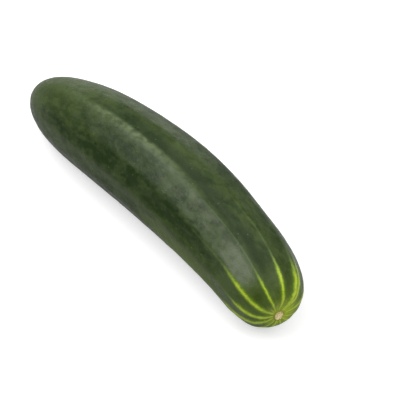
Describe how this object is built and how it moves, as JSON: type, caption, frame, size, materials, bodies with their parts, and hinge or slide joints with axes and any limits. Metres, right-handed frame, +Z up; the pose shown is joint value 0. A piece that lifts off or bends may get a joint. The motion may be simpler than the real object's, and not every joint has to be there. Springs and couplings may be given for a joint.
{
  "type": "cucumber",
  "caption": "Whole dark green slicing cucumber, slightly bent, with soft ribs, pale stripes round its blossom scar and a stem scar, lying on its side.",
  "frame": {"origin": "on the table, under the middle of the fruit's box as it lies", "axes": "+X along the fruit towards the blossom end, +Y towards the outside of its bend, +Z up"},
  "size_m": [0.2266, 0.0608, 0.0563],
  "materials": {
    "skin": "waxy dark green cucumber skin with a soft gloss, yellow-green stripes round the blossom end and tan corky scars"
  },
  "bodies": {
    "root": {"cucumber": "skin"}
  },
  "joints": []
}
